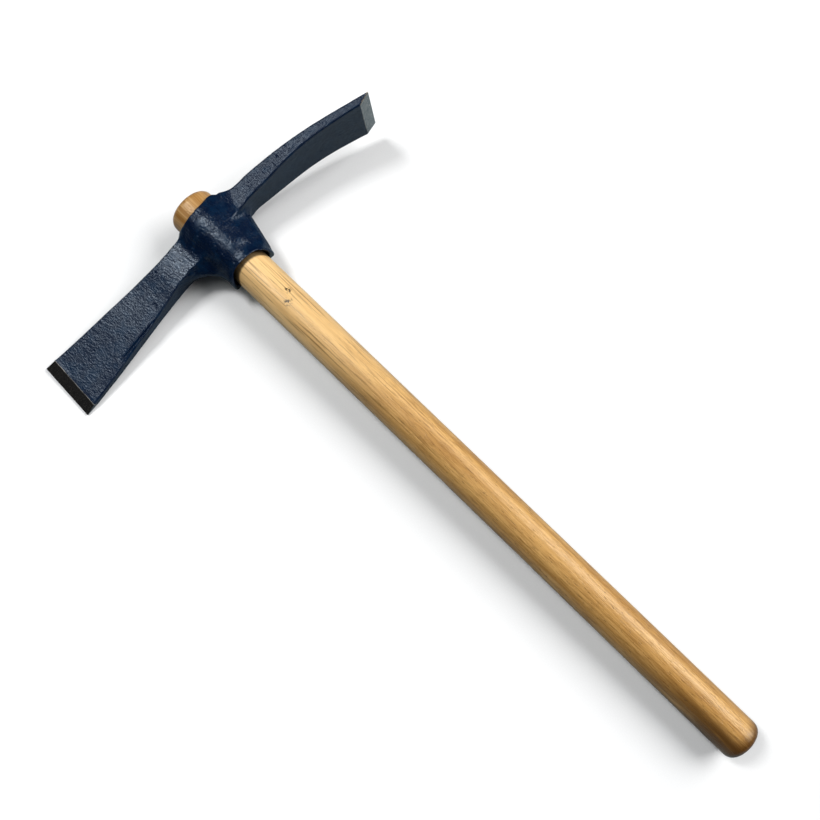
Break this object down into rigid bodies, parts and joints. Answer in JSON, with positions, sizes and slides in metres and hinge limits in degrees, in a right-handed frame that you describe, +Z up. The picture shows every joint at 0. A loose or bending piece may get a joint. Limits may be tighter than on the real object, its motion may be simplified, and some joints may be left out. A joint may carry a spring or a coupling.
{
  "type": "hand mattock",
  "caption": "Hand mattock: forged head with an axe blade and a curved adze blade, on a slip-fit round wooden handle.",
  "frame": {"origin": "under the middle of the tool's bounding box, on the surface it lies on", "axes": "+X along the handle towards the butt, +Y from the axe towards the adze, +Z up from the surface; the tool lies at rest on its butt, its eye and the corner of its axe, so its handle axis dips 0.8 degrees towards the butt"},
  "size_m": [0.5492, 0.314, 0.065],
  "materials": {
    "head": "satin dark navy paint over forged steel, bare ground bevels at the edges",
    "handle": "clear lacquered beech"
  },
  "bodies": {
    "head": {"mattock_head": "head"},
    "handle": {"handle": "handle"}
  },
  "joints": [
    {"name": "handle_slide", "type": "slide", "parent": "head", "child": "handle", "axis": [-0.9999, 0, 0.0136], "range_m": [0, 0.475]}
  ]
}
